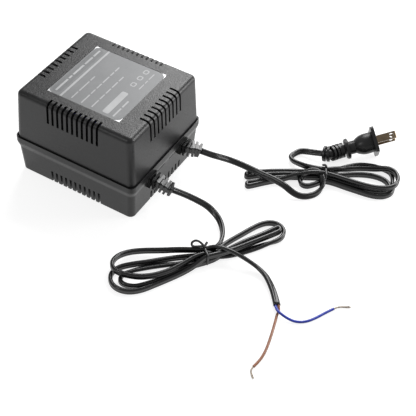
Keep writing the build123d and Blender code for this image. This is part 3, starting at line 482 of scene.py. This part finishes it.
def tie(name, hank, low, high, high_top, top, ends, node):
    """A ring round the bundle from low to high across, to high_top at its top, with loose ends."""
    shape = bmesh.new()
    ring = []
    for across, height, start in ((high_top, top, 0), (low, top, 90),
                                  (low, tie_bottom, 180), (high, tie_bottom, 270)):
        centre = (across - tie_corner * (-1 if across == low else 1),
                  height - tie_corner * (1 if height == top else -1))
        for step in quarter:
            angle = radians(start + step)
            ring.append((tie_lean * cos(angle), centre[0] + tie_corner * cos(angle),
                         centre[1] + tie_corner * sin(angle)))
    ring = [Vector(spot) * MM for spot in laid(*hank, ring)]
    way = Vector((*hank[1], 0)).normalized()
    middle = sum(ring, Vector()) / len(ring)
    loops = []
    for spot in ring:
        out = spot - middle
        out = (out - way * out.dot(way)).normalized()
        loops.append([shape.verts.new(spot + way * wide * MM + out * thick * MM)
                      for wide, thick in tie_outline])
    for one, other in zip(loops, loops[1:] + loops[:1]):
        skin(shape, one, other)
    for end in ends:
        line = read(laid(*hank, end), resolution=10)
        swept(shape, line, [0] * len(line), circle(tie_end_diameter, 10))
    made = piece(name, mesh_of(name, shape), tie_plastic)
    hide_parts(node)
    return made


output_band = tie("output_band", output_hank, -3.3, 8.2, 8.2, 11.9, [
    [(0.4, 6.0, 12.2), (1.2, 7.4, 12.6), (2.6, 8.6, 13.0), (3.4, 9.4, 13.1)],
    [(0.2, 5.6, 12.4), (-1.4, 9.0, 14.6), (-4.6, 12.4, 15.2), (-8.2, 12.6, 13.6), (-9.0, 10.2, 12.5),
     (-7.2, 8.6, 12.4), (-4.0, 7.6, 12.7), (-0.6, 6.6, 12.9)],
], "output_tie")
input_band = tie("input_band", input_hank, -5.95, 7.9, 5.4, 11.9, [
    [(0.4, 3.0, 12.3), (0.4, 4.6, 12.6), (-0.8, 5.6, 12.7), (-2.8, 5.4, 12.2)],
], "input_tie")

# Label: thin printed fields on the foil, with the foil's corners left bare
dark, banded, light = 0, 1, 2  # the fields' material slots
dark_height = label_top + 0.02
band_height = label_top + 0.025
light_height = label_top + 0.03
inset_height = label_top + 0.04
word_gap = 1.6
word_rounding = 0.3  # the corner radius of a word, as a share of its height


def plate(shape, x_range, y_range, corner, height, slot):
    """A thin rounded plate lying on the label, its faces in one material slot."""
    spots = []
    for x, y, start in ((x_range[1], y_range[1], 0), (x_range[0], y_range[1], 90),
                        (x_range[0], y_range[0], 180), (x_range[1], y_range[0], 270)):
        for step in quarter:
            angle = radians(start + step)
            spots.append((x - corner * (1 if x == x_range[1] else -1) + corner * cos(angle),
                          y - corner * (1 if y == y_range[1] else -1) + corner * sin(angle)))
    top = [shape.verts.new((x * MM, y * MM, height * MM)) for x, y in spots]
    low = [shape.verts.new((x * MM, y * MM, label_top * MM)) for x, y in spots]
    faces = [shape.faces.new(top)]
    for place in range(len(spots)):
        after = (place + 1) % len(spots)
        faces.append(shape.faces.new((low[place], low[after], top[after], top[place])))
    for face in faces:
        face.material_index = slot


def row_of_words(shape, across, start, words, height):
    """A row of short bars in the place of printed words, from the start along the label's y.
    The words are given by their lengths, and across is the x of the row's middle."""
    place = start
    for word in words:
        plate(shape, (across - height / 2, across + height / 2), (place, place + word),
              height * word_rounding, light_height, light)
        place += word + word_gap


fields = bmesh.new()
plate(fields, (-34.0, 34.0), (-34.0, 34.0), 5.5, dark_height, dark)
plate(fields, (-32.6, -24.4), (-31.6, 31.6), 3.4, band_height, banded)
plate(fields, (-22.4, -20.6), (-33.7, 33.7), 0.3, light_height, light)
row_of_words(fields, -28.5, -30.0, (16.0, 4.0, 14.5, 10.5, 9.0), 1.7)
row_of_words(fields, -12.8, -31.0, (9.0, 13.5, 6.0), 1.1)
row_of_words(fields, -3.1, -31.5, (11.5, 6.0, 7.0, 9.0, 5.0, 6.0), 1.1)
row_of_words(fields, 6.4, -31.0, (9.5, 6.5, 7.0, 8.0, 6.5), 1.1)
plate(fields, (15.8, 21.6), (-31.0, -2.0), 1.6, light_height, light)
row_of_words(fields, 26.4, -31.0, (11.0, 8.5), 1.4)
for y in (9.5, 19.0, 28.0):
    plate(fields, (16.0, 20.6), (y - 2.6, y + 2.6), 1.6, light_height, light)
    plate(fields, (16.9, 19.7), (y - 1.7, y + 1.7), 1.0, inset_height, dark)
row_of_words(fields, 25.2, 7.0, (7.0, 4.0, 8.0), 0.9)
label_fields = piece("label_fields", mesh_of("label_fields", fields), label_print, label_band,
                     label_light)

# Floor, light and camera, in metres
floor_reach = 6.0  # from the middle of the floor to its edges
paper_glow = 0.78  # a light of the floor's own, for the rays that show the background
world_light, world_seen = 0.4, 1.0  # the backdrop as a light, and as the camera sees it
lit_middle = (0.08, 0.0, 0.04)
camera_place = (0.34648, -0.47988, 0.56611)
camera_right = (0.8613, 0.5056, 0.0496)
camera_back = (0.3161, -0.6097, 0.7269)

floor_shape = bmesh.new()
bmesh.ops.create_grid(floor_shape, x_segments=1, y_segments=1, size=floor_reach)
floor_mesh = mesh_of("floor", floor_shape)
floor = added("floor", floor_mesh)


def seen_only(tree):
    """1 for the rays that show the background: from the camera, a gloss or through glass."""
    path = tree.nodes.new("ShaderNodeLightPath")
    first = combined(tree, "MAXIMUM", path.outputs["Is Camera Ray"], path.outputs["Is Glossy Ray"])
    return combined(tree, "MAXIMUM", first, path.outputs["Is Transmission Ray"])


paper = bpy.data.materials.new("paper")
paper.use_nodes = True
tree = paper.node_tree
paper_shader = tree.nodes["Principled BSDF"]
paper_shader.inputs["Roughness"].default_value = 0.9
paper_shader.inputs["Specular IOR Level"].default_value = 0.1
paper_tone = tree.nodes.new("ShaderNodeMix")
paper_tone.data_type = "RGBA"
paper_tone.inputs[first_colour].default_value = (0.4, 0.4, 0.4, 1)
paper_tone.inputs[second_colour].default_value = (0.42, 0.42, 0.42, 1)
spot = tree.nodes.new("ShaderNodeTexCoord").outputs["Object"]
tree.links.new(noise(tree, spot, size=0.05), paper_tone.inputs[0])
tree.links.new(paper_tone.outputs[mixed_colour], paper_shader.inputs["Base Color"])
paper_shader.inputs["Emission Color"].default_value = (1, 1, 1, 1)
glow = combined(tree, "MULTIPLY", seen_only(tree), paper_glow)
tree.links.new(glow, paper_shader.inputs["Emission Strength"])
floor_mesh.materials.append(paper)

world = bpy.data.worlds.new("studio")
bpy.context.scene.world = world
world.use_nodes = True
tree = world.node_tree
backdrop = tree.nodes["Background"]
backdrop.inputs["Color"].default_value = (1, 1, 1, 1)
straight = tree.nodes.new("ShaderNodeLightPath").outputs["Is Camera Ray"]
tree.links.new(ranged(tree, straight, 0.0, 1.0, world_light, world_seen), backdrop.inputs["Strength"])


def softbox(name, place, target, size, watts):
    """A square soft light that faces a point."""
    data = bpy.data.lights.new(name, "AREA")
    data.shape = "SQUARE"
    data.size = size
    data.energy = watts
    made = added(name, data)
    made.location = place
    made.rotation_mode = "QUATERNION"
    made.rotation_quaternion = (Vector(target) - Vector(place)).to_track_quat("-Z", "Y")


softbox("key", (-0.15, 1.0, 0.9), lit_middle, size=0.9, watts=21.0)
softbox("side", (0.95, 0.74, 0.44), lit_middle, size=0.5, watts=7.0)
softbox("fill", (-0.3, -0.87, 0.77), lit_middle, size=0.25, watts=1.6)

lens = bpy.data.cameras.new("camera")
lens.sensor_width = 36.0
lens.lens = 81.99
lens.clip_start = 0.01
lens.clip_end = 20.0
camera = added("camera", lens)
right = Vector(camera_right).normalized()
back = Vector(camera_back)
back = (back - right * back.dot(right)).normalized()
view_up = back.cross(right)
turned = Matrix((right, view_up, back)).transposed().to_4x4()
camera.matrix_world = Matrix.Translation(camera_place) @ turned
bpy.context.scene.camera = camera
bpy.context.scene.view_settings.view_transform = "Standard"
